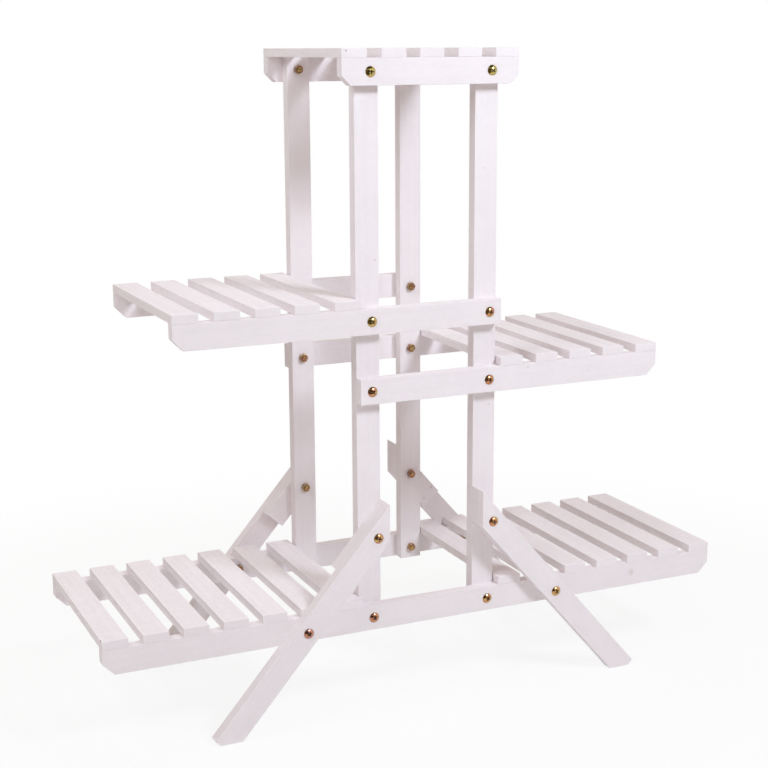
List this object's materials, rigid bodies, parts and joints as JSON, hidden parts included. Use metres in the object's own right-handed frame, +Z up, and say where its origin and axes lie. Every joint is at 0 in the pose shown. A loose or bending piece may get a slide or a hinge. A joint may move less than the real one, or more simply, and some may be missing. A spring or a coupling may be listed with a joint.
{
  "type": "plant ladder stand",
  "caption": "White slatted wooden plant stand: staggered shelves and a long base shelf on an upright post frame with splayed legs.",
  "frame": {"origin": "centre of the footprint, on the floor between the four feet", "axes": "+Z up, +X along the rails to the right as seen from the front, +Y to the back; the shown front faces -Y"},
  "size_m": [0.83, 0.2904, 0.8],
  "materials": {
    "painted_wood": "thin white wash over planed softwood, matt, with the grain faintly showing",
    "plated_steel": "yellow zinc plating"
  },
  "bodies": {
    "root": {"front_left_post": "painted_wood", "front_right_post": "painted_wood", "back_left_post": "painted_wood", "back_right_post": "painted_wood", "top_front_rail": "painted_wood", "top_back_rail": "painted_wood", "left_shelf_front_rail": "painted_wood", "left_shelf_back_rail": "painted_wood", "right_shelf_front_rail": "painted_wood", "right_shelf_back_rail": "painted_wood", "base_front_rail": "painted_wood", "base_back_rail": "painted_wood", "top_slat_1": "painted_wood", "top_slat_2": "painted_wood", "top_slat_3": "painted_wood", "top_slat_4": "painted_wood", "top_slat_5": "painted_wood", "left_shelf_slat_1": "painted_wood", "left_shelf_slat_2": "painted_wood", "left_shelf_slat_3": "painted_wood", "left_shelf_slat_4": "painted_wood", "left_shelf_slat_5": "painted_wood", "right_shelf_slat_1": "painted_wood", "right_shelf_slat_2": "painted_wood", "right_shelf_slat_3": "painted_wood", "right_shelf_slat_4": "painted_wood", "right_shelf_slat_5": "painted_wood", "base_left_slat_1": "painted_wood", "base_left_slat_2": "painted_wood", "base_left_slat_3": "painted_wood", "base_left_slat_4": "painted_wood", "base_left_slat_5": "painted_wood", "base_left_slat_6": "painted_wood", "base_left_slat_7": "painted_wood", "base_right_slat_1": "painted_wood", "base_right_slat_2": "painted_wood", "base_right_slat_3": "painted_wood", "base_right_slat_4": "painted_wood", "base_right_slat_5": "painted_wood", "base_right_slat_6": "painted_wood", "base_right_slat_7": "painted_wood", "front_left_leg": "painted_wood", "front_left_leg_block": "painted_wood", "front_left_leg_post_bolt": "plated_steel", "front_left_leg_rail_bolt": "plated_steel", "front_right_leg": "painted_wood", "front_right_leg_block": "painted_wood", "front_right_leg_post_bolt": "plated_steel", "front_right_leg_rail_bolt": "plated_steel", "back_left_leg": "painted_wood", "back_left_leg_block": "painted_wood", "back_left_leg_post_bolt": "plated_steel", "back_left_leg_rail_bolt": "plated_steel", "back_right_leg": "painted_wood", "back_right_leg_block": "painted_wood", "back_right_leg_post_bolt": "plated_steel", "back_right_leg_rail_bolt": "plated_steel"}
  },
  "joints": []
}
